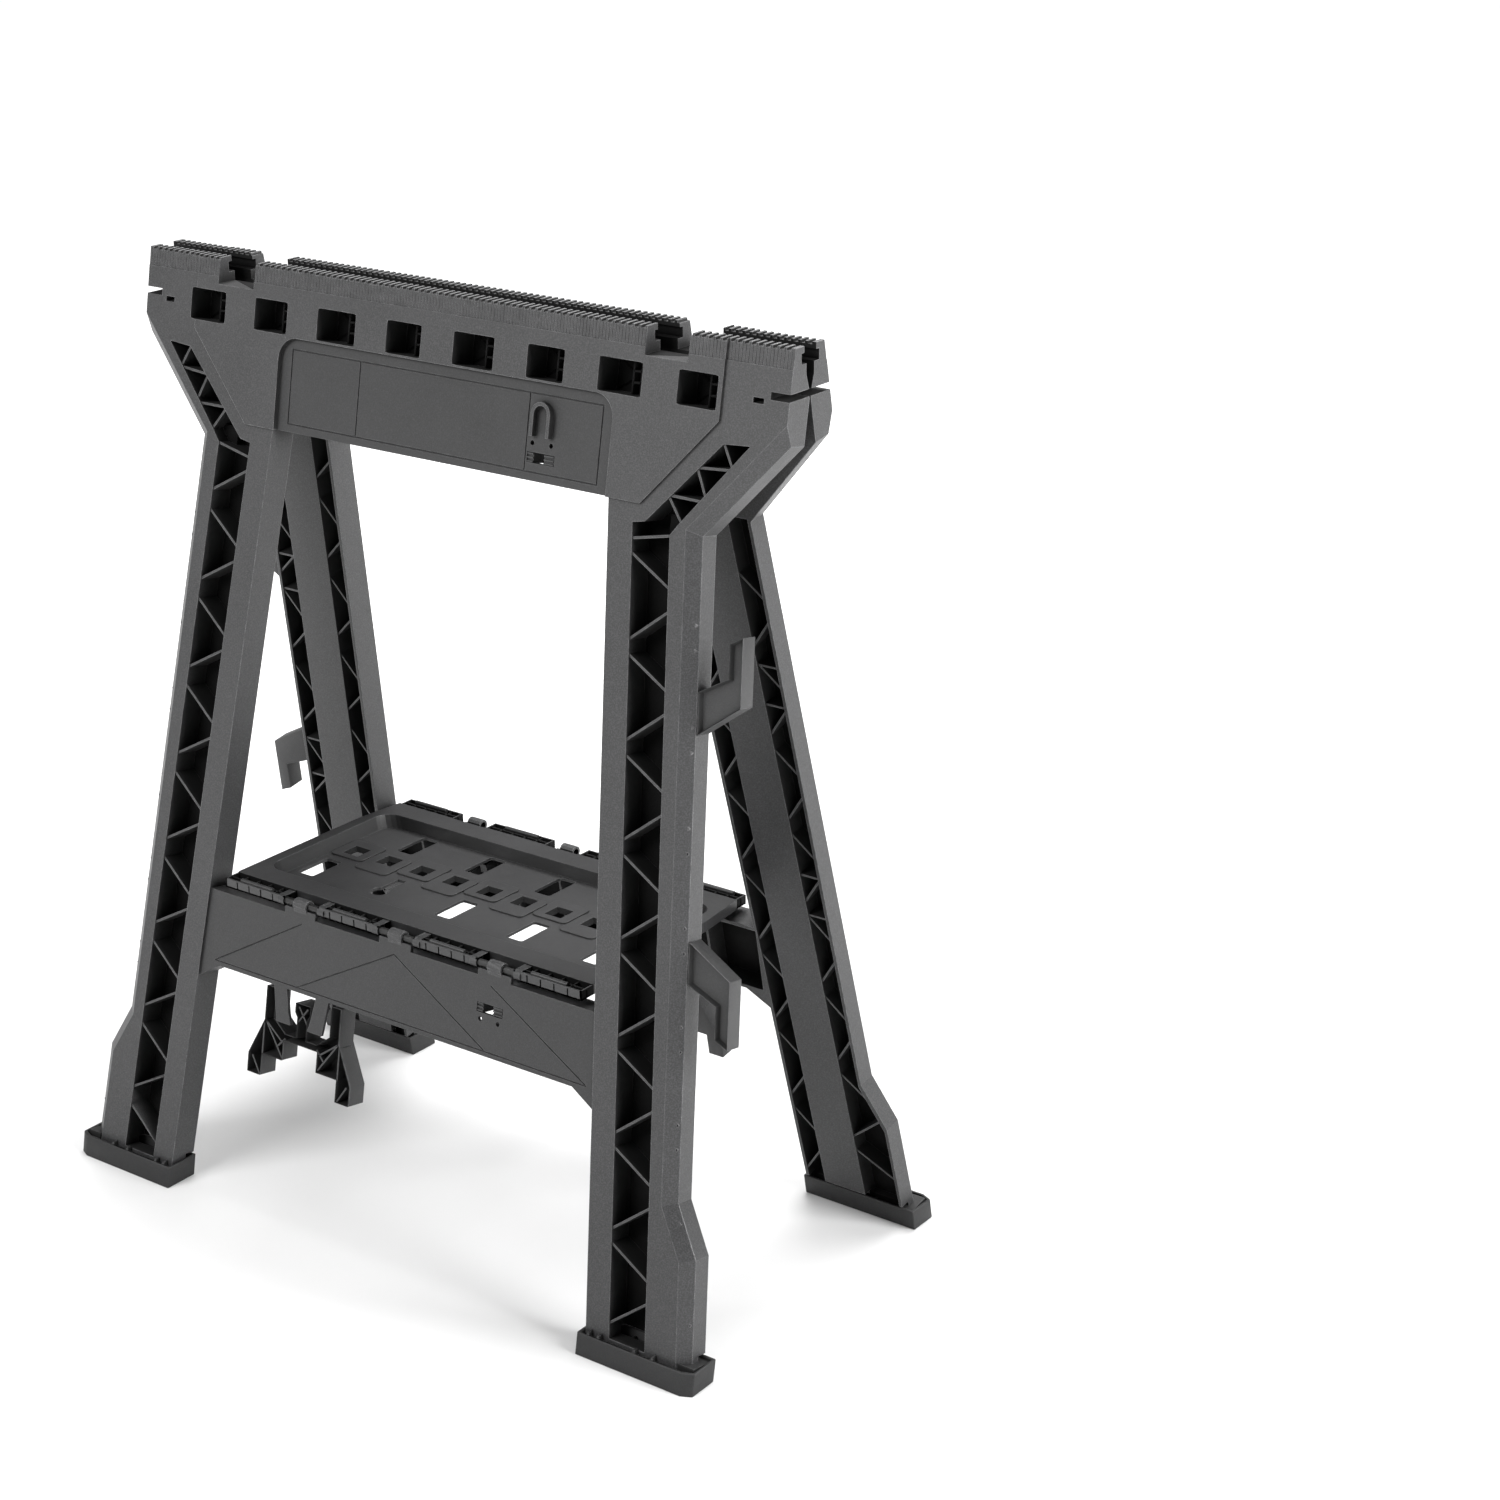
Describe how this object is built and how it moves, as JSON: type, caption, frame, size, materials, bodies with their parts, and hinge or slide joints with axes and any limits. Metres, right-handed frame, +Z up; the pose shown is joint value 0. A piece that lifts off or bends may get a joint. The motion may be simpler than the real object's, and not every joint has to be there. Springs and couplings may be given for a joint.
{
  "type": "folding sawhorse",
  "caption": "Folding plastic sawhorse: two ribbed A-frame halves hinged along a slotted beam, a swing-up tool shelf, clip-on stock brackets and side cord hooks.",
  "frame": {"origin": "on the floor, midway between the four feet when the stand is open", "axes": "+X along the beam, towards the right end seen from the front; -Y towards the front, where the shelf is hinged; +Z up"},
  "size_m": [0.6782, 0.3476, 0.785],
  "materials": {
    "frame_plastic": "fine matte texture",
    "foot_plastic": "fine matte texture",
    "shelf_plastic": "satin",
    "fitting_plastic": "satin",
    "pin_steel": "dark drawn steel"
  },
  "bodies": {
    "front_half": {"front_frame": "frame_plastic", "front_right_foot": "foot_plastic", "front_left_foot": "foot_plastic", "front_upper_cord_hook": "fitting_plastic", "front_lower_cord_hook": "fitting_plastic", "top_hinge_pin_1": "pin_steel", "top_hinge_pin_2": "pin_steel", "top_hinge_pin_3": "pin_steel", "top_hinge_pin_4": "pin_steel", "shelf_hinge_pin_1": "pin_steel", "shelf_hinge_pin_2": "pin_steel", "shelf_hinge_pin_3": "pin_steel"},
    "rear_half": {"rear_frame": "frame_plastic", "rear_left_foot": "foot_plastic", "rear_right_foot": "foot_plastic", "rear_upper_cord_hook": "fitting_plastic", "rear_lower_cord_hook": "fitting_plastic"},
    "shelf_body": {"shelf": "shelf_plastic"},
    "front_bracket": {"front_stock_bracket": "fitting_plastic"},
    "rear_bracket": {"rear_stock_bracket": "fitting_plastic"}
  },
  "joints": [
    {"name": "leg_fold", "type": "hinge", "parent": "front_half", "child": "rear_half", "pos_m": [0, 0, 0.745], "axis": [-1, 0, 0], "range_deg": [0, 21.5]},
    {"name": "shelf_swing", "type": "hinge", "parent": "front_half", "child": "shelf_body", "pos_m": [0, -0.1095, 0.276], "axis": [1, 0, 0], "range_deg": [0, 79.25]},
    {"name": "front_bracket_slide", "type": "slide", "parent": "front_half", "child": "front_bracket", "axis": [0, -0.1865, -0.9825], "range_m": [0, 0.03]},
    {"name": "rear_bracket_slide", "type": "slide", "parent": "rear_half", "child": "rear_bracket", "axis": [0, 0.1865, -0.9825], "range_m": [0, 0.03]}
  ],
  "couplings": [
    {"joint": "shelf_swing", "follows": "leg_fold", "ratio": 3.686}
  ]
}
